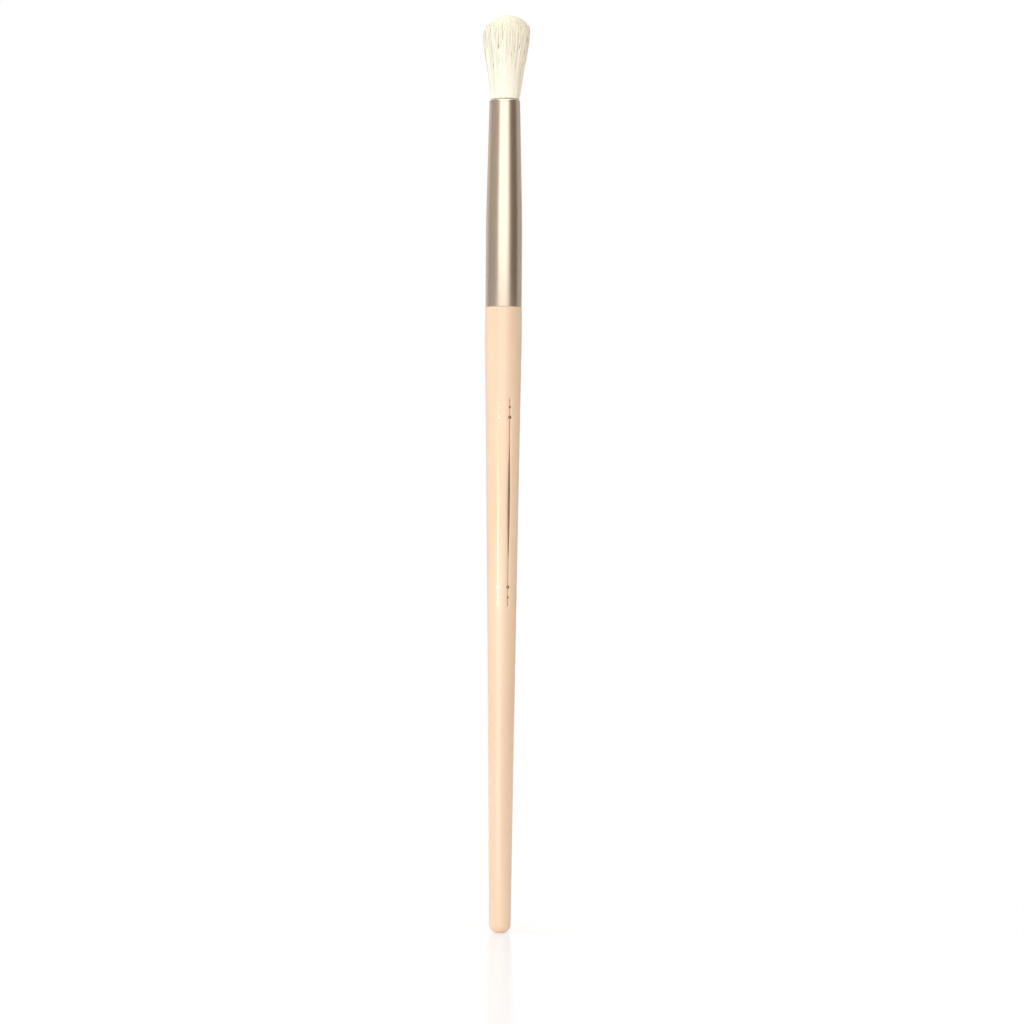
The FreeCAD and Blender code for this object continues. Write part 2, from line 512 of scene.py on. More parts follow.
@dataclass(frozen=True)
class WaxedThread:
    """Twisted cotton thread with a coat of wax."""

    colour: Colour = (0.80, 0.74, 0.60)
    # Painted shade in the grooves between the plies.
    groove_shade: Colour = (0.50, 0.43, 0.31)
    twist_scale: float = 5200.0
    twist_slant: float = 2.4
    ply_strength: float = 0.5
    ply_depth: float = 0.03 * MM
    fluff_scale: float = 9000.0
    roughness: float = 0.55
    roughness_spread: float = 0.2

    def material(self) -> bpy.types.Material:
        """Makes the material.

        Returns:
            Thread with plies that show as slanting grooves, with painted shade in them.
        """
        made = bpy.data.materials.new("waxed_thread")
        shader = Shader(made)
        place = shader.place()
        slant = place * (1.0, 1.0, self.twist_slant)
        settings = {"wave_type": "BANDS", "bands_direction": "DIAGONAL"}
        inputs = {"Vector": slant, "Scale": self.twist_scale}
        plies = shader.node("ShaderNodeTexWave", settings, inputs, output="Fac")
        fluff = shader.noise(place, self.fluff_scale)
        shader.surface({
            "Base Color": shader.mix(plies, self.groove_shade, self.colour),
            "Roughness": self.roughness + fluff * self.roughness_spread,
            "Normal": shader.bump(plies, self.ply_strength, self.ply_depth),
        })
        return made


@dataclass(frozen=True)
class StudioFloor:
    """Pale sheet that fades into a white ground away from the object."""

    colour: Colour = (0.92, 0.92, 0.92)
    roughness: float = 0.16
    roughness_spread: float = 0.05
    grain_scale: float = 400.0
    near_glow: float = 0.45
    fade_start: float = 0.06
    fade_end: float = 0.30

    def material(self) -> bpy.types.Material:
        """Makes the material.

        Returns:
            A sheet that keeps the shadow and a faint mirror image near the object.
        """
        made = bpy.data.materials.new("studio_floor")
        shader = Shader(made)
        place = shader.place()
        settings = {"operation": "LENGTH"}
        distance = shader.node("ShaderNodeVectorMath", settings, {0: place}, output="Value")
        far = shader.step(distance, self.fade_start, self.fade_end)
        grain = shader.noise(place, self.grain_scale)
        sheet = shader.node("ShaderNodeBsdfPrincipled", inputs={
            "Base Color": (*self.colour, 1.0),
            "Roughness": self.roughness + grain * self.roughness_spread,
        })
        white = shader.node("ShaderNodeEmission", inputs={"Color": (*WHITE, 1.0), "Strength": 1.0})
        glow = (self.near_glow + far * (1.0 - self.near_glow)) * shader.shown()
        shader.output(shader.node("ShaderNodeMixShader", inputs={0: glow, 1: sheet, 2: white}))
        return made


def new_object(name: str, mesh: bpy.types.Mesh) -> bpy.types.Object:
    """Puts a mesh into the scene under a name."""
    made = bpy.data.objects.new(name, mesh)
    bpy.context.scene.collection.objects.link(made)
    return made


def mesh_from_faces(
    name: str,
    places: np.ndarray,
    faces: list[np.ndarray],
    uv: list[np.ndarray],
) -> bpy.types.Mesh:
    """Makes a smooth mesh.

    Args:
        name: the mesh's name.
        places: vertices, one row each.
        faces: arrays of vertex numbers, one array for each number of corners.
        uv: for each array of faces, the bake map's places of its corners.

    Returns:
        The mesh with its bake map.
    """
    corners = np.concatenate([part.ravel() for part in faces]).astype(np.int32)
    totals = np.concatenate([np.full(len(part), part.shape[1]) for part in faces]).astype(np.int32)
    starts = np.concatenate([[0], np.cumsum(totals)[:-1]]).astype(np.int32)
    mesh = bpy.data.meshes.new(name)
    mesh.vertices.add(len(places))
    mesh.vertices.foreach_set("co", places.astype(np.float32).ravel())
    mesh.loops.add(len(corners))
    mesh.loops.foreach_set("vertex_index", corners)
    mesh.polygons.add(len(totals))
    mesh.polygons.foreach_set("loop_start", starts)
    mesh.polygons.foreach_set("loop_total", totals)
    mesh.polygons.foreach_set("use_smooth", np.ones(len(totals), bool))
    layer = mesh.uv_layers.new(name=BAKE_MAP)
    flat = np.concatenate([part.reshape(-1, 2) for part in uv]).astype(np.float32)
    layer.uv.foreach_set("vector", flat.ravel())
    mesh.update(calc_edges=True)
    mesh.validate()
    return mesh


def arc(centre: Point, radius: float, start: float, end: float, count: int) -> list[Point]:
    """Points on an arc of a half section.

    Args:
        centre: (radius, height) of the middle.
        radius: the arc's own radius.
        start: first angle in degrees, 0 outward and 90 up.
        end: last angle in degrees.
        count: number of points.

    Returns:
        The points, ends included.
    """
    angles = np.radians(np.linspace(start, end, count))
    return [(centre[0] + radius * math.cos(a), centre[1] + radius * math.sin(a)) for a in angles]


def bend(start: Point, corner: Point, end: Point, shares: np.ndarray) -> list[Point]:
    """Points on an even curve that leaves and arrives along the lines through a corner.

    Args:
        start: first (radius, height).
        corner: where the two lines meet.
        end: last (radius, height).
        shares: how far along each point is, from 0 to 1.

    Returns:
        The points.
    """
    weights = np.stack([(1 - shares) ** 2, 2 * shares * (1 - shares), shares**2], axis=-1)
    return [tuple(point) for point in weights @ np.array([start, corner, end])]


@dataclass
class Turning:
    """A grid of rings round the Z axis, made from a half section.

    Attributes:
        radii: one row for each ring, one column for each direction.
        angles: directions in radians, in the same rows and columns.
        heights: one for each ring.
        ring: True where the section closes on itself, False where both ends are on the axis.
    """

    radii: np.ndarray
    angles: np.ndarray
    heights: np.ndarray
    ring: bool

    def mesh(self, name: str) -> bpy.types.Mesh:
        """Joins the rings to a closed mesh.

        Args:
            name: the mesh's name.

        Returns:
            The mesh, its quads in ring order.
        """
        rings, columns = self.radii.shape
        x = self.radii * np.cos(self.angles)
        y = self.radii * np.sin(self.angles)
        z = np.repeat(self.heights[:, None], columns, axis=1)
        places = np.stack([x, y, z], axis=-1).reshape(-1, 3)
        lower = np.arange(rings if self.ring else rings - 1)
        upper = (lower + 1) % rings
        column = np.arange(columns)
        after = (column + 1) % columns
        quads = np.stack([
            lower[:, None] * columns + column,
            lower[:, None] * columns + after,
            upper[:, None] * columns + after,
            upper[:, None] * columns + column,
        ], axis=-1).reshape(-1, 4)
        length = len(lower)
        rows = length if self.ring else length + 2
        u = np.broadcast_to(column / columns, (length, columns))
        v = np.broadcast_to((lower / rows)[:, None], (length, columns))
        du, dv = 1 / columns, 1 / rows
        uv = np.stack([
            np.stack([u, v], -1),
            np.stack([u + du, v], -1),
            np.stack([u + du, v + dv], -1),
            np.stack([u, v + dv], -1),
        ], axis=2).reshape(-1, 4, 2)
        faces, maps = [quads], [uv]
        if not self.ring:
            places = np.concatenate([places, [[0, 0, self.heights[0]], [0, 0, self.heights[-1]]]])
            tail, top = rings * columns, rings * columns + 1
            last = (rings - 1) * columns
            low_fan = np.stack([np.full(columns, tail), after, column], axis=-1)
            high_fan = np.stack([np.full(columns, top), last + column, last + after], axis=-1)
            faces.append(np.concatenate([low_fan, high_fan]))
            left = np.tile(column / columns, 2)
            row = np.repeat([length / rows, (length + 1) / rows], columns)
            maps.append(np.stack([
                np.stack([left, row], -1),
                np.stack([left + du, row], -1),
                np.stack([left, row + dv], -1),
            ], axis=1))
        return mesh_from_faces(name, places, faces, maps)


def even_angles(rings: int, columns: int) -> np.ndarray:
    """Directions that divide each ring evenly."""
    return np.broadcast_to(np.arange(columns) * 2 * math.pi / columns, (rings, columns))


def finish_piece(
    piece: bpy.types.Object,
    materials: list[bpy.types.Material],
    node: str,
) -> None:
    """Dresses a new piece and ties it to the frame.

    Args:
        piece: the new piece.
        materials: its materials by index.
        node: the solid that it stands for.
    """
    for material in materials:
        piece.data.materials.append(material)
    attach(piece, "root")
    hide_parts(node)
    log.info("%s stands for %s with %d faces", piece.name, node, len(piece.data.polygons))


@dataclass
class FoilMark:
    """Pair of swelled rules with beads at their ends, stamped along the front of the handle."""

    middle: float = 84.4 * MM
    half_length: float = 20.6 * MM
    bearing: float = math.radians(19)
    turn: float = math.radians(5)
    lens_half_length: float = 15.0 * MM
    lens_half_width: float = 0.27 * MM
    lens_power: float = 1.6
    line_half_width: float = 0.07 * MM
    beads: tuple[Point, ...] = ((16.6 * MM, 0.36 * MM), (18.6 * MM, 0.24 * MM))
    wall: float = 0.05 * MM
    depth: float = 0.03 * MM
    columns: int = 8
    bead_rings: int = 15
    lens_rings: int = 60

    def heights(self) -> np.ndarray:
        """Heights at which the outline of the mark needs a ring.

        Returns:
            Heights in no order.
        """
        away = [np.array([self.half_length]), np.linspace(0, self.lens_half_length, self.lens_rings)]
        swing = np.sin(np.linspace(-math.pi / 2, math.pi / 2, self.bead_rings))
        away += [place + radius * swing for place, radius in self.beads]
        reach = np.concatenate(away)
        return self.middle + np.concatenate([-reach, reach])

    def half_width(self, height: np.ndarray) -> np.ndarray:
        """Half a rule's width at each height.

        Args:
            height: heights on the handle.

        Returns:
            Half widths, that of the fine line also past the ends.
        """
        away = np.abs(height - self.middle)
        lens = np.clip(1 - (away / self.lens_half_length) ** 2, 0, None) ** self.lens_power
        width = np.maximum(self.line_half_width, self.lens_half_width * lens)
        for place, radius in self.beads:
            bead = np.sqrt(np.clip(radius**2 - (away - place) ** 2, 0, None))
            width = np.maximum(width, bead)
        return width

    def pressed(self, height: np.ndarray) -> np.ndarray:
        """True at the heights where the mark is stamped."""
        return np.abs(height - self.middle) <= self.half_length


@dataclass
class Handle:
    """Turned and lacquered handle with its grooved tenon."""

    tail_flat_radius: float = 0.55 * MM
    tail_radius: float = 2.15 * MM
    middle_radius: float = 2.80 * MM
    collar_radius: float = 3.61 * MM
    collar_length: float = 5.0 * MM
    collar_blend: float = 1.6 * MM
    shoulder_round: float = 0.22 * MM
    tenon_radius: float = 3.20 * MM
    tenon_lead: float = 0.6 * MM
    groove_count: int = 3
    groove_width: float = 0.9 * MM
    groove_depth: float = 0.25 * MM
    groove_pitch: float = 3.4 * MM
    first_groove: float = 2.6 * MM
    tail_rings: int = 20
    sweep_rings: int = 140
    blend_rings: int = 10
    shoulder_rings: int = 10
    between_reach: float = 0.4
    between_columns: int = 5
    side_start: float = 1.7
    side_columns: int = 100
    mark: FoilMark = field(default_factory=FoilMark)

    def section(self) -> list[Point]:
        """Half section from the tail's flat to the end of the tenon.

        Returns:
            (radius, height) points without those on the axis.
        """
        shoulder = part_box("ferrule")[0].z
        tenon_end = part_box("handle")[1].z
        tail_round = self.tail_radius - self.tail_flat_radius
        collar_bottom = shoulder - self.collar_length
        corner = collar_bottom - self.collar_blend
        taper_end = corner - self.collar_blend
        share = self.collar_blend / (taper_end - tail_round)
        pull = share * (4 * self.middle_radius - self.tail_radius)
        end_radius = (self.collar_radius + pull) / (1 + 3 * share)
        handle_radius = 2 * self.middle_radius - (self.tail_radius + end_radius) / 2
        points = arc((self.tail_flat_radius, tail_round), tail_round, -90, 0, self.tail_rings)
        sweep_corner = (handle_radius, (tail_round + taper_end) / 2)
        marked = (self.mark.heights() - tail_round) / (taper_end - tail_round)
        shares = np.union1d(np.linspace(0, 1, self.sweep_rings), marked)
        points += bend(points[-1], sweep_corner, (end_radius, taper_end), shares)[1:]
        collar_start = (self.collar_radius, collar_bottom)
        shares = np.linspace(0, 1, self.blend_rings)
        points += bend(points[-1], (self.collar_radius, corner), collar_start, shares)[1:]
        seat = (self.collar_radius - self.shoulder_round, shoulder - self.shoulder_round)
        points += arc(seat, self.shoulder_round, 0, 90, self.shoulder_rings)
        points.append((self.tenon_radius, shoulder))
        for index in range(self.groove_count):
            middle = shoulder + self.first_groove + index * self.groove_pitch
            low, high = middle - self.groove_width / 2, middle + self.groove_width / 2
            floor = self.tenon_radius - self.groove_depth
            points += [(self.tenon_radius, low), (floor, low + self.groove_depth)]
            points += [(floor, high - self.groove_depth), (self.tenon_radius, high)]
        points.append((self.tenon_radius, tenon_end - self.tenon_lead))
        points.append((self.tenon_radius - self.tenon_lead, tenon_end))
        return points

    def turning(self) -> tuple[Turning, np.ndarray]:
        """Rings of the handle, with columns that run along the edges of the stamped rules.

        Returns:
            The turning, the rules pressed into its front, and True for each column that starts a
            strip of a rule.
        """
        section = np.array(self.section())
        radius, height = section[:, :1], section[:, 1]
        mark = self.mark
        width = mark.half_width(height)[:, None]
        inside = np.linspace(-1, 1, mark.columns + 1) * width
        wall = width + mark.wall
        offsets = np.concatenate([-wall, inside, wall], axis=1) / np.maximum(radius, self.tail_radius)
        between = mark.bearing * np.linspace(-self.between_reach, self.between_reach, self.between_columns)
        edge = self.side_start * mark.bearing
        sides = np.linspace(edge, 2 * math.pi - edge, self.side_columns)
        strips = [offsets - mark.bearing, between, offsets + mark.bearing, sides]
        strips = [np.broadcast_to(strip, (len(height), strip.shape[-1])) for strip in strips]
        angles = np.concatenate(strips, axis=1) - math.pi / 2 + mark.turn
        rule = np.pad(np.ones(mark.columns + 1, bool), 1)
        sunk = np.concatenate([rule, np.zeros(len(between), bool), rule, np.zeros(len(sides), bool)])
        radii = np.repeat(radius, angles.shape[1], axis=1)
        radii -= np.outer(mark.pressed(height), sunk) * mark.depth
        return Turning(radii, angles, height, ring=False), sunk & np.roll(sunk, -1)

    def build(self, lacquer: Lacquer, foil: Foil) -> bpy.types.Object:
        """Makes the handle and dresses it.

        Args:
            lacquer: finish of the wood.
            foil: finish of the stamped mark.

        Returns:
            The piece.
        """
        turning, strips = self.turning()
        mesh = turning.mesh(HANDLE_NAME)
        inside = self.mark.pressed(turning.heights)
        stamped = np.outer(inside[:-1] & inside[1:], strips)
        wear = np.full(len(mesh.polygons), Wear.LACQUER.value, np.int32)
        wear[: stamped.size][stamped.ravel()] = Wear.FOIL.value
        mesh.polygons.foreach_set("material_index", wear)
        mesh.set_sharp_from_angle(angle=SHARP_EDGE)
        piece = new_object(HANDLE_NAME, mesh)
        finish_piece(piece, [lacquer.material(), foil.material()], "handle")
        return piece


@dataclass
class Ferrule:
    """Drawn tube with a parallel back, a straight taper and an edge rolled inward at the mouth."""

    back_radius: float = 3.55 * MM
    mouth_radius: float = 3.01 * MM
    wall: float = 0.25 * MM
    lip_radius: float = 0.33 * MM
    back_edge: float = 0.08 * MM
    parallel_length: float = 15.0 * MM
    taper_blend: float = 2.3 * MM
    edge_rings: int = 5
    bend_rings: int = 14
    lip_rings: int = 16
    columns: int = 180

    def section(self) -> list[Point]:
        """Closed half section, up the outside and down the bore.

        Returns:
            (radius, height) points.
        """
        low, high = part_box("ferrule")
        back, mouth = low.z, high.z
        lip_start = mouth - self.lip_radius
        bend_start = back + self.parallel_length
        corner = bend_start + self.taper_blend
        slope = (self.back_radius - self.mouth_radius) / (lip_start - corner)
        taper_start = corner + self.taper_blend * math.cos(math.atan(slope))
        start_radius = self.back_radius - slope * (taper_start - corner)
        opening = self.mouth_radius - self.lip_radius
        bore = self.back_radius - self.wall
        edge_centre = (self.back_radius - self.back_edge, back + self.back_edge)
        points = [(bore, back)]
        points += arc(edge_centre, self.back_edge, -90, 0, self.edge_rings)
        outer = bend(
            (self.back_radius, bend_start),
            (self.back_radius, corner),
            (start_radius, taper_start),
            np.linspace(0, 1, self.bend_rings),
        )
        points += outer
        points += arc((opening, lip_start), self.lip_radius, 0, 90, self.lip_rings)
        points.append((opening, mouth - self.wall))
        points.append((self.mouth_radius - self.wall, lip_start))
        points += [(radius - self.wall, height) for radius, height in reversed(outer)]
        return points

    def build(self, metal: ChampagneMetal) -> bpy.types.Object:
        """Makes the ferrule and dresses it.

        Args:
            metal: its finish.

        Returns:
            The piece.
        """
        section = np.array(self.section())
        rings = len(section)
        radii = np.repeat(section[:, :1], self.columns, axis=1)
        turning = Turning(radii, even_angles(rings, self.columns), section[:, 1], ring=True)
        mesh = turning.mesh("drawn_ferrule")
        mesh.set_sharp_from_angle(angle=SHARP_EDGE)
        piece = new_object("drawn_ferrule", mesh)
        finish_piece(piece, [metal.material()], "ferrule")
        return piece


@dataclass
class HairHead:
    """Head of separate hairs, tied and glued at the root and combed out to a round dome."""

    count: int = 4500
    strand_radius: float = 0.056 * MM
    strand_spread: float = 0.15
    tip_sizes: tuple[float, ...] = (1.5, 1.4, 1.1)
    taper_start: float = 0.84
    thread_diameter: float = 0.34 * MM
    swell_rise: float = 1.5 * MM
    lip_depth: float = 0.33 * MM
    bore_at_swell: float = 2.98 * MM
    bore_at_lip: float = 2.665 * MM
    neck_radius: float = 2.61 * MM
    spring_radius: float = 2.88 * MM
    spring_length: float = 0.22 * MM
    flare_handle: Point = (2.80 * MM, 3.3 * MM)
    belly_handle: Point = (4.50 * MM, 9.1 * MM)
    belly: Point = (4.56 * MM, 12.9 * MM)
    guide_points: int = 60
    dome_height: float = 3.7 * MM
    dome_rim: float = 0.998
    left_drop: float = 0.40 * MM
    left_gain: float = 1.4
    tip_spread: float = 0.10 * MM
    short_share: float = 0.14
    short_by: tuple[float, float] = (0.4 * MM, 5.0 * MM)
    mouth_lean: float = 0.13 * MM
    tip_lean: float = 0.14 * MM
    lean_power: float = 1.6
    bundle_jitter: float = 0.35
    hairs_to_clump: int = 9
    clump_jitter: float = 0.25
    clump_pull: tuple[float, float] = (0.03, 0.32)
    clump_start: float = 0.35
    clump_power: float = 1.2
    wave: tuple[float, float] = (0.01 * MM, 0.07 * MM)
    wave_length: tuple[float, float] = (5.0 * MM, 11.0 * MM)
    wave_phase: int = 3
    tip_wander: float = 0.07 * MM
    stray_share: float = 0.012
    stray_reach: tuple[float, float] = (0.15 * MM, 0.45 * MM)
    mouth_rings: tuple[float, ...] = (0.0, 0.02)
    first_ring: float = 0.09
    rings_outside: int = 11
    tints: int = 64
    strip_margin: float = 0.1
    strip_fill: float = 0.8
    clump_tint: float = 0.6
    # Painted shade: tints grow deeper and warmer toward the right side of the head.
    right_shade_tint: float = 0.16
    deepest_tint: float = 0.999
    # Clumps and hairs that carry the painted shade of the gaps between clumps.
    gap_shade_share: float = 0.3
    gap_shade_hairs: float = 0.5
    blend: float = 0.85
    upward: float = 0.05

    def guide(self) -> tuple[np.ndarray, np.ndarray]:
        """The outermost hairs' line from root to belly.

        Returns:
            Heights, and the radius at each.
        """
        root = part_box("hair_tuft")[0].z
        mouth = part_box("ferrule")[1].z
        thread_low, thread_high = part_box("tie_thread")
        plug_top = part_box("root_glue")[1].z
        root_radius = thread_high.x
        waist = root_radius - self.thread_diameter - self.strand_radius
        swell = plug_top + self.swell_rise
        heights = [root, thread_low.z, thread_high.z, plug_top, swell, mouth - self.lip_depth]
        radii = np.array([root_radius, waist, waist, root_radius, self.bore_at_swell, self.bore_at_lip])
        t = np.linspace(0, 1, self.guide_points)
        weights = np.stack([(1 - t) ** 3, 3 * t * (1 - t) ** 2, 3 * t**2 * (1 - t), t**3])
        poles = np.array([(self.spring_radius, 0.0), self.flare_handle, self.belly_handle, self.belly])
        radius, rise = (weights.T @ poles).T
        radius = radius - (self.spring_radius - self.neck_radius) * np.exp(-rise / self.spring_length)
        return np.concatenate([heights, mouth + rise]), np.concatenate([radii - self.strand_radius, radius])

    def spread_evenly(self, count: int) -> np.ndarray:
        """Places that fill a disc of radius 1 evenly.

        Args:
            count: how many.

        Returns:
            One row each.
        """
        index = np.arange(count)
        golden = math.pi * (3 - math.sqrt(5))
        reach = np.sqrt((index + 0.5) / count)
        return np.stack([reach * np.cos(index * golden), reach * np.sin(index * golden)], axis=-1)

    def lengths(self, across: np.ndarray, random: np.random.Generator) -> np.ndarray:
        """How far each hair's tip stands over the mouth.

        Args:
            across: each hair's place from 0 in the middle to 1 outside.
            random: the seeded source of chance.

        Returns:
            Lengths that form the dome, some of them short.
        """
        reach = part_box("hair_tuft")[1].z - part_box("ferrule")[1].z
        tip = reach - self.dome_height * (1 - np.sqrt(1 - np.minimum(across, self.dome_rim) ** 2))
        tip = tip - np.abs(random.normal(0, self.tip_spread, self.count))
        short = random.random(self.count) < self.short_share
        return tip - short * random.uniform(*self.short_by, self.count)

    def bundle(self, random: np.random.Generator) -> np.ndarray:
        """Places of the hairs across the bundle, in a disc of radius 1."""
        jitter = self.bundle_jitter / math.sqrt(self.count)
        disc = self.spread_evenly(self.count) + random.normal(0, jitter, (self.count, 2))
        return disc / np.maximum(np.linalg.norm(disc, axis=1), 1.0)[:, None]

    def strands(self, random: np.random.Generator) -> tuple[np.ndarray, np.ndarray, np.ndarray, np.ndarray]:
        """Centre lines of the hairs.

        Args:
            random: the seeded source of chance.

        Returns:
            Points (hair, ring, axis), each ring's share of the way from root to tip, each hair's place
            across the bundle from 0 in the middle to 1 outside, and each hair's tint from 0 to 1.
        """
        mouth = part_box("ferrule")[1].z
        disc = self.bundle(random)
        across = np.linalg.norm(disc, axis=1)
        left = np.clip(-self.left_gain * disc[:, 0], 0, 1)
        tip = (self.lengths(across, random) - self.left_drop * left)[:, None]
        guide_height, guide_radius = self.guide()
        inner = guide_height[guide_height < mouth]
        share = np.concatenate([self.mouth_rings, np.linspace(self.first_ring, 1, self.rings_outside)])
        inside = np.broadcast_to(inner, (self.count, len(inner)))
        height = np.concatenate([inside, mouth + tip * share], axis=1)
        radius = np.interp(height, guide_height, guide_radius)
        free = np.clip((height - mouth) / tip, 0, 1)
        clumps = self.spread_evenly(self.count // self.hairs_to_clump)
        jitter = self.clump_jitter / math.sqrt(len(clumps))
        clumps = clumps + random.normal(0, jitter, clumps.shape)
        nearest = np.argmin(((disc[:, None] - clumps[None]) ** 2).sum(-1), axis=1)
        gather = np.clip((free - self.clump_start) / (1 - self.clump_start), 0, 1) ** self.clump_power
        pull = random.uniform(*self.clump_pull, len(clumps))[nearest][:, None] * gather
        spot = disc[:, None] + (clumps[nearest] - disc)[:, None] * pull[..., None]
        line = spot * radius[..., None]
        bearing = random.uniform(0, 2 * math.pi, self.count)
        length = random.uniform(*self.wave_length, self.count)[:, None]
        swing = random.uniform(*self.wave, self.count)[:, None] * free
        swing = swing * np.sin(2 * math.pi * (height - mouth) / length + bearing[:, None] * self.wave_phase)
        heading = np.stack([np.cos(bearing), np.sin(bearing)], axis=-1)[:, None]
        line = line + swing[..., None] * heading
        line = line + random.normal(0, self.tip_wander, (self.count, 1, 2)) * free[..., None] ** 2
        stray = random.random(self.count) < self.stray_share
        outward = stray * random.uniform(*self.stray_reach, self.count)
        line = line + (disc * outward[:, None])[:, None] * free[..., None] ** 3
        line[..., 0] += self.lean(height - mouth)
        hidden = np.linspace(0, HIDDEN_SHARE, len(inner), endpoint=False)
        along = np.concatenate([hidden, HIDDEN_SHARE + (1 - HIDDEN_SHARE) * share])
        tints = self.tinted(nearest, disc[:, 0], random)
        return np.concatenate([line, height[..., None]], axis=-1), along, across, tints

    def tinted(self, clump: np.ndarray, side: np.ndarray, random: np.random.Generator) -> np.ndarray:
        """Tints that are alike within a clump, with painted shade that makes them deeper and warmer toward
        the right.

        Args:
            clump: the number of each hair's clump.
            side: each hair's place from -1 on the left to 1 on the right.
            random: the seeded source of chance.

        Returns:
            A tint for each hair, over the plain ones for some hairs of a clump that carries the painted
            shade of the gaps between clumps.
        """
        clumps, hairs = clump.max() + 1, len(clump)
        alike = random.random(clumps)[clump]
        plain = self.clump_tint * alike + (1 - self.clump_tint) * random.random(hairs)
        # Tints past the plain ones carry the painted shade of the gaps between clumps.
        gap_shade = PLAIN_TINTS + (1 - PLAIN_TINTS) * random.random(clumps)[clump]
        chosen = (random.random(clumps) < self.gap_shade_share)[clump]
        gap_shaded = chosen & (random.random(hairs) < self.gap_shade_hairs)
        # Painted shade: the plain tints grow deeper toward the right.
        plain = np.clip(plain + self.right_shade_tint * side, 0, self.deepest_tint)
        return np.where(gap_shaded, gap_shade, PLAIN_TINTS * plain)

    def lean(self, rise: np.ndarray) -> np.ndarray:
        """How far the head leans to the right at each height over the mouth."""
        up = np.clip(rise / self.belly[1], 0, None)
        return self.mouth_lean * np.clip(rise / MM, 0, 1) + self.tip_lean * up**self.lean_power

    def normals(self, lines: np.ndarray, sides: np.ndarray) -> np.ndarray:
        """Directions between those of the single hairs and those of the whole head.

        Light that enters pale hair comes out again beside it, so a thick head shades softly.

        Args:
            lines: points (hair, ring, axis).
            sides: points (hair, ring, side, axis) on the hairs' surfaces.

        Returns:
            A direction for each surface point.
        """
        guide_height, guide_radius = self.guide()
        height = lines[..., 2]
        head = lines.copy()
        head[..., 0] -= self.lean(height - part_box("ferrule")[1].z)
        head[..., :2] /= np.interp(height, guide_height, guide_radius)[..., None]
        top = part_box("hair_tuft")[1].z
        head[..., 2] = np.clip(1 - (top - height) / self.dome_height, 0, 1) ** 2 + self.upward
        head /= np.linalg.norm(head, axis=-1, keepdims=True)
        own = sides - lines[:, :, None]
        own /= np.linalg.norm(own, axis=-1, keepdims=True)
        mixed = own * (1 - self.blend) + head[:, :, None] * self.blend
        return mixed / np.maximum(np.linalg.norm(mixed, axis=-1, keepdims=True), 1e-6)

    def layer_mesh(
        self,
        name: str,
        lines: np.ndarray,
        along: np.ndarray,
        tints: np.ndarray,
        tip_size: float,
        random: np.random.Generator,
    ) -> bpy.types.Mesh:
        """Three-sided closed hairs round their centre lines.

        Args:
            name: the mesh's name.
            lines: points (hair, ring, axis).
            along: each ring's share of the way from root to tip.
            tints: each hair's tint, from 0 to 1.
            tip_size: a tip's thickness as a share of its shaft's.
            random: the seeded source of chance.

        Returns:
            The mesh, each hair in a tint's strip of the bake map.
        """
        hairs, rings, _ = lines.shape
        thick = self.strand_radius * (1 + random.uniform(-self.strand_spread, self.strand_spread, hairs))
        fade = np.clip((along - self.taper_start) / (1 - self.taper_start), 0, 1)
        taper = 1 + (tip_size - 1) * fade**2
        radius = thick[:, None, None] * taper[None, :, None]
        turn = random.uniform(0, 2 * math.pi, hairs)[:, None, None] + np.arange(3) * 2 * math.pi / 3
        x = lines[..., 0:1] + radius * np.cos(turn)
        y = lines[..., 1:2] + radius * np.sin(turn)
        z = np.broadcast_to(lines[..., 2:3], x.shape)
        places = np.stack([x, y, z], axis=-1)
        hair = np.arange(hairs)[:, None, None] * rings * 3
        ring = np.arange(rings - 1)[None, :, None] * 3
        side = np.arange(3)
        after = (side + 1) % 3
        low_side = hair + ring + side
        low_after = hair + ring + after
        quads = np.stack([low_side, low_after, low_after + 3, low_side + 3], -1)
        first = np.arange(hairs)[:, None] * rings * 3
        ends = np.concatenate([first + [2, 1, 0], first + (rings - 1) * 3 + [0, 1, 2]])
        strip = 1 / self.tints
        tint = (np.floor(tints * self.tints) + self.strip_margin) * strip
        wide = self.strip_fill * strip
        left = np.broadcast_to(tint[:, None, None] + wide * side / 3, quads.shape[:3])
        right = left + wide / 3
        low = np.broadcast_to(along[None, :-1, None], quads.shape[:3])
        high = np.broadcast_to(along[None, 1:, None], quads.shape[:3])
        quad_uv = np.stack([
            np.stack([left, low], -1),
            np.stack([right, low], -1),
            np.stack([right, high], -1),
            np.stack([left, high], -1),
        ], axis=-2).reshape(-1, 4, 2)
        cap_share = np.repeat([0.0, 1.0 - 0.5 * strip], hairs)
        cap_tint = np.tile(tint, 2)
        cap_uv = np.stack([
            np.stack([cap_tint, cap_share], -1),
            np.stack([cap_tint + wide, cap_share], -1),
            np.stack([cap_tint, cap_share + 0.5 * strip], -1),
        ], axis=1)
        mesh = mesh_from_faces(name, places.reshape(-1, 3), [quads.reshape(-1, 4), ends], [quad_uv, cap_uv])
        mesh.normals_split_custom_set_from_vertices(self.normals(lines, places).reshape(-1, 3).tolist())
        return mesh

    def build(self, finish: CreamHair) -> list[bpy.types.Object]:
        """Makes the head in three layers and dresses it.

        Args:
            finish: the hair's finish.

        Returns:
            The pieces.
        """
        random = np.random.default_rng(SEED)
        lines, along, across, tints = self.strands(random)
        order = np.argsort(across)
        material = finish.material()
        pieces = []
        for layer, chosen, tip_size in zip(Layer, np.array_split(order, len(Layer)), self.tip_sizes):
            mesh = self.layer_mesh(layer.value, lines[chosen], along, tints[chosen], tip_size, random)
            piece = new_object(layer.value, mesh)
            finish_piece(piece, [material], "hair_tuft")
            pieces.append(piece)
        return pieces


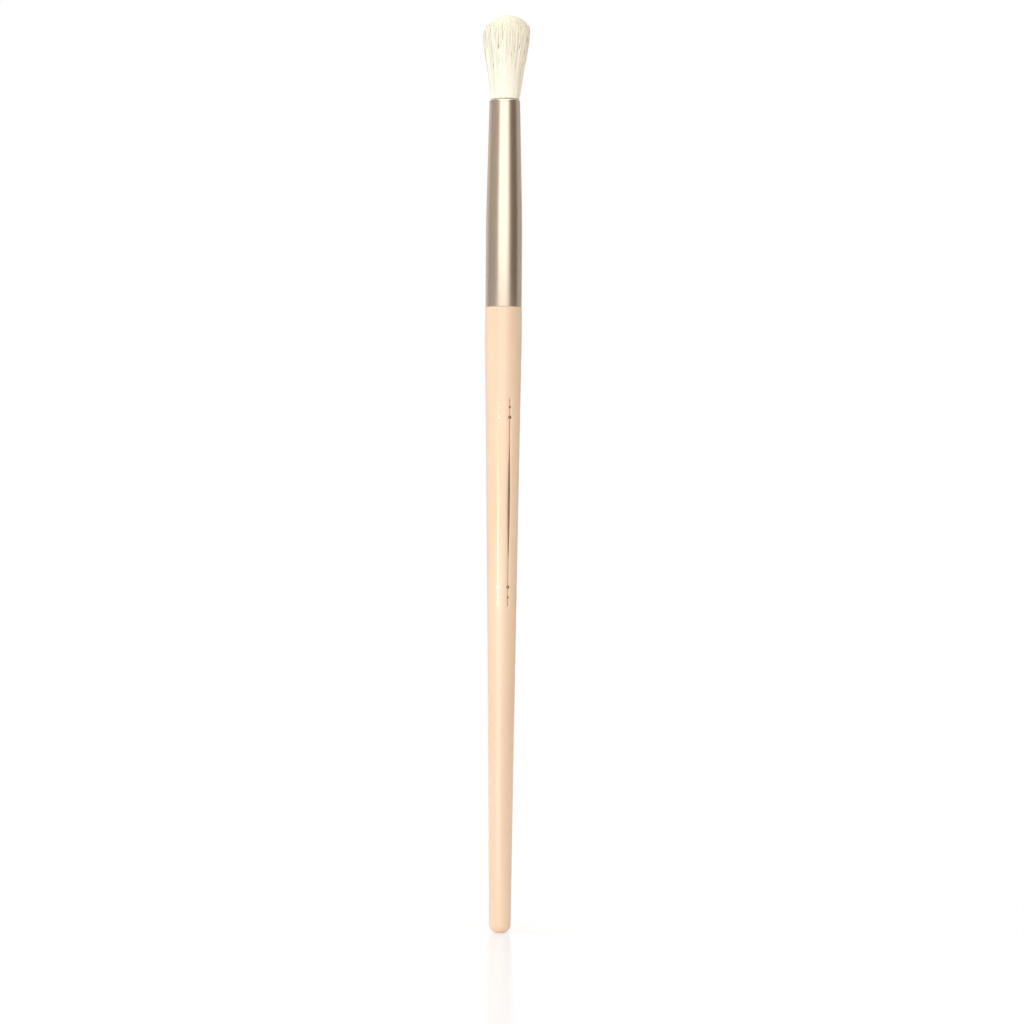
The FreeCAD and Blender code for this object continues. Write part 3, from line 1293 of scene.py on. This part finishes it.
@dataclass
class GluedJoint:
    """What holds the brush together inside the ferrule: two fills of glue and the tie thread."""

    glue_nodes: tuple[str, ...] = ("tenon_glue", "root_glue")
    thread_node: str = "tie_thread"

    def dress(self, glue: CuredGlue, thread: WaxedThread) -> None:
        """Gives the solids their finishes.

        Args:
            glue: finish of both fills.
            thread: finish of the winding.
        """
        resin = glue.material()
        finishes = {node: resin for node in self.glue_nodes}
        finishes[self.thread_node] = thread.material()
        for node, material in finishes.items():
            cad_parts[node].material_slots[0].material = material
            log.info("%s keeps its solid", node)


@dataclass(frozen=True)
class Lamp:
    """A soft box: a glowing rectangle that faces a point, for all pieces or for some."""

    name: str
    place: tuple[float, float, float]
    aim: tuple[float, float, float]
    width: float
    height: float
    glow: float
    colour: Colour = WHITE
    diffuse: bool = True
    glossy: bool = True
    pieces: tuple[str, ...] = ()

    def build(self) -> bpy.types.Object:
        """Makes the lamp.

        Returns:
            An area light whose face has the given glow.
        """
        light = bpy.data.lights.new(self.name, "AREA")
        light.shape = "RECTANGLE"
        light.size = self.width
        light.size_y = self.height
        light.energy = LAMP_POWER * self.glow * self.width * self.height
        light.color = self.colour
        made = bpy.data.objects.new(self.name, light)
        made.location = self.place
        toward = Vector(self.aim) - Vector(self.place)
        made.rotation_euler = toward.to_track_quat("-Z", "Y").to_euler()
        made.visible_camera = False
        made.visible_diffuse = self.diffuse
        made.visible_glossy = self.glossy
        if self.pieces:
            chosen = bpy.data.collections.new(self.name)
            for piece in self.pieces:
                chosen.objects.link(bpy.data.objects[piece])
            made.light_linking.receiver_collection = chosen
        bpy.context.scene.collection.objects.link(made)
        return made


@dataclass(frozen=True)
class Card:
    """An upright studio card beside the object, which only shiny surfaces see."""

    name: str
    start: Point
    end: Point
    colour: Colour
    height: float = 0.8
    tone_spread: float = 0.03
    fibre_scale: float = 60.0
    roughness: float = 0.9
    specular: float = 0.1

    def build(self) -> bpy.types.Object:
        """Makes the card.

        Returns:
            A flat staged panel that no camera sees.
        """
        bottom = [(*self.start, 0.0), (*self.end, 0.0)]
        top = [(*self.end, self.height), (*self.start, self.height)]
        mesh = bpy.data.meshes.new(self.name)
        mesh.from_pydata(bottom + top, [], [(0, 1, 2, 3)])
        made = new_object(self.name, mesh)
        material = bpy.data.materials.new(self.name)
        shader = Shader(material)
        fibre = shader.noise(shader.place(), self.fibre_scale)
        low = toned(self.colour, 1.0 - self.tone_spread)
        high = toned(self.colour, 1.0 + self.tone_spread)
        shader.surface({
            "Base Color": shader.mix(fibre, low, high),
            "Roughness": self.roughness,
            "Specular IOR Level": self.specular,
        })
        mesh.materials.append(material)
        made.visible_camera = False
        made.visible_diffuse = False
        made.visible_shadow = False
        return made


@dataclass
class Studio:
    """Floor, lamps, cards and camera."""

    floor_half_width: float = 4.0
    floor_drop: float = 0.02 * MM
    sky_glow: float = 0.32
    sensor_width: float = 36.0
    lens: float = 119.5
    camera_place: tuple[float, float, float] = (1.9 * MM, -667.0 * MM, 82.5 * MM)
    camera_roll: float = math.radians(-0.35)
    lamps: tuple[Lamp, ...] = (
        Lamp("front_box", (-0.12, -0.95, 0.45), (-0.12, 0.0, 0.30), 1.20, 1.00, 1.27),
        Lamp("left_box", (-1.00, -0.10, 0.45), (0.0, 0.0, 0.10), 0.80, 1.00, 1.40),
        Lamp("top_box", (0.0, -0.15, 0.95), (0.0, 0.0, 0.15), 1.00, 1.00, 1.25),
        Lamp(
            "back_box", (0.0, 1.10, 0.45), (0.0, 0.0, 0.10), 0.80, 1.00, 1.70,
            colour=(1.0, 0.95, 0.89), glossy=False,
        ),
        Lamp(
            "warm_fill", (0.035, -0.016, 0.172), (0.0, 0.0, 0.172), 0.02, 0.02, 1.10,
            colour=(1.0, 0.66, 0.48), glossy=False, pieces=HAIR,
        ),
        Lamp(
            "pale_fill", (-0.035, -0.012, 0.172), (0.0, 0.0, 0.172), 0.02, 0.02, 1.00,
            colour=(1.0, 0.98, 0.76), glossy=False, pieces=HAIR,
        ),
        Lamp(
            "low_strip", (-0.025, -0.05, 0.0375), (-0.025, 0.0, 0.0375), 0.042, 0.075, 1.30,
            diffuse=False, pieces=WOOD,
        ),
    )
    cards: tuple[Card, ...] = (
        Card("left_flag", (-0.50, -0.50), (-0.50, 0.25), (0.36, 0.34, 0.32)),
        Card("left_card", (-0.50, 0.25), (-0.50, 1.80), (0.75, 0.75, 0.75)),
        Card("front_card", (-0.95, -1.02), (0.52, -1.02), (0.40, 0.40, 0.40)),
        Card("right_flag", (0.40, -0.51), (0.40, 0.035), (0.175, 0.152, 0.135)),
        Card("right_card", (0.40, 0.035), (0.40, 1.50), (0.50, 0.50, 0.50)),
    )
    light_bounces: int = 24

    def build_floor(self) -> None:
        """Makes the pale floor."""
        half = self.floor_half_width
        corners = [(-half, -half), (half, -half), (half, half), (-half, half)]
        mesh = bpy.data.meshes.new("studio_floor")
        mesh.from_pydata([(x, y, 0.0) for x, y in corners], [], [(0, 1, 2, 3)])
        floor = new_object("studio_floor", mesh)
        floor.location.z = cad_box[0].z - self.floor_drop
        mesh.materials.append(StudioFloor().material())

    def build_sky(self) -> None:
        """Makes the world: white where it is looked at, soft grey as a source of light."""
        world = bpy.data.worlds.new("studio_sky")
        bpy.context.scene.world = world
        shader = Shader(world)
        glow, white = self.sky_glow, (*WHITE, 1.0)
        dim = shader.node("ShaderNodeBackground", inputs={"Color": white, "Strength": glow})
        bright = shader.node("ShaderNodeBackground", inputs={"Color": white, "Strength": 1.0})
        sky = shader.node("ShaderNodeMixShader", inputs={0: shader.shown(), 1: dim, 2: bright})
        shader.output(sky, "ShaderNodeOutputWorld")

    def build_camera(self) -> None:
        """Makes the camera, level with the middle of the handle."""
        data = bpy.data.cameras.new("studio_camera")
        data.sensor_width = self.sensor_width
        data.lens = self.lens
        camera = bpy.data.objects.new("studio_camera", data)
        camera.location = self.camera_place
        camera.rotation_euler = (math.pi / 2, self.camera_roll, 0.0)
        bpy.context.scene.collection.objects.link(camera)
        bpy.context.scene.camera = camera

    def build(self) -> None:
        """Makes the whole studio."""
        scene = bpy.context.scene
        scene.view_settings.view_transform = "Standard"
        scene.cycles.max_bounces = self.light_bounces
        scene.cycles.diffuse_bounces = self.light_bounces
        self.build_floor()
        self.build_sky()
        for thing in (*self.lamps, *self.cards):
            thing.build()
            log.info("%s is in place", thing.name)
        self.build_camera()


def main() -> None:
    """Builds the brush and its studio."""
    logging.basicConfig(level=logging.INFO, format="%(name)s: %(message)s")
    Handle().build(Lacquer(), Foil())
    Ferrule().build(ChampagneMetal())
    HairHead().build(CreamHair())
    GluedJoint().dress(CuredGlue(), WaxedThread())
    Studio().build()


if __name__ == "__main__":
    main()
